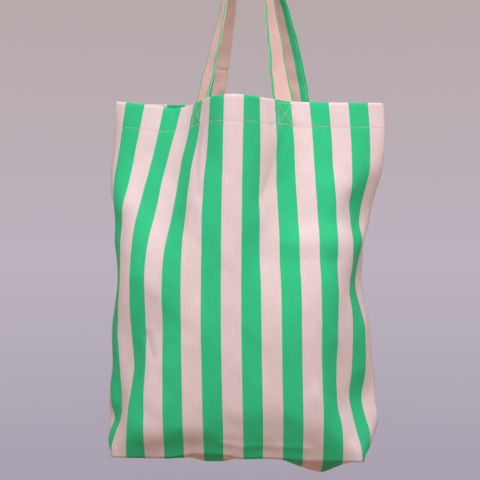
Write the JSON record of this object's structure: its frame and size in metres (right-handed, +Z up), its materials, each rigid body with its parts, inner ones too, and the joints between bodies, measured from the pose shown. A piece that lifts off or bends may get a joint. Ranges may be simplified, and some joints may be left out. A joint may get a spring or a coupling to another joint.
{
  "type": "canvas tote bag",
  "caption": "Open-topped striped canvas tote bag with a boxed base and long fabric strap handles, hanging from a hook, for carrying shopping by hand or on the shoulder",
  "frame": {"origin": "axis of the hook, at the top of the two handle loops", "axes": "X to the right along the front, Y away from the front, Z up"},
  "size_m": [0.3587, 0.1944, 0.7151],
  "materials": {
    "striped_canvas": "plain-weave cotton canvas in mint green and pale pink 25 mm stripes",
    "strap_canvas": "the same canvas folded in four and stitched along both edges",
    "pale_thread": "pale pink sewing thread",
    "overlock_thread": "raw canvas edge bound with pale thread"
  },
  "bodies": {
    "bag": {"front_panel": "striped_canvas", "back_panel": "striped_canvas", "front_hem_facing": "striped_canvas", "back_hem_facing": "striped_canvas", "front_strap_roots": "strap_canvas", "back_strap_roots": "strap_canvas", "front_left_strap_end": "strap_canvas", "front_right_strap_end": "strap_canvas", "back_left_strap_end": "strap_canvas", "back_right_strap_end": "strap_canvas", "front_hem_stitching": "pale_thread", "back_hem_stitching": "pale_thread", "front_left_box_stitch": "pale_thread", "front_right_box_stitch": "pale_thread", "back_left_box_stitch": "pale_thread", "back_right_box_stitch": "pale_thread", "left_side_overlock": "overlock_thread", "right_side_overlock": "overlock_thread", "left_corner_overlock": "overlock_thread", "right_corner_overlock": "overlock_thread", "base_overlock": "overlock_thread"},
    "front_handle": {"front_handle": "strap_canvas", "front_handle_stitching": "pale_thread"},
    "back_handle": {"back_handle": "strap_canvas", "back_handle_stitching": "pale_thread"}
  },
  "joints": [
    {"name": "front_handle_fold", "type": "hinge", "parent": "bag", "child": "front_handle", "pos_m": [-0.00698, -0.06442, -0.22], "axis": [0.998, -0.0638, 0], "range_deg": [0, 150], "deforming": ["front_strap_roots"]},
    {"name": "back_handle_fold", "type": "hinge", "parent": "bag", "child": "back_handle", "pos_m": [0.01072, 0.06112, -0.22], "axis": [-0.9996, -0.0291, 0], "range_deg": [0, 150], "deforming": ["back_strap_roots"]}
  ]
}
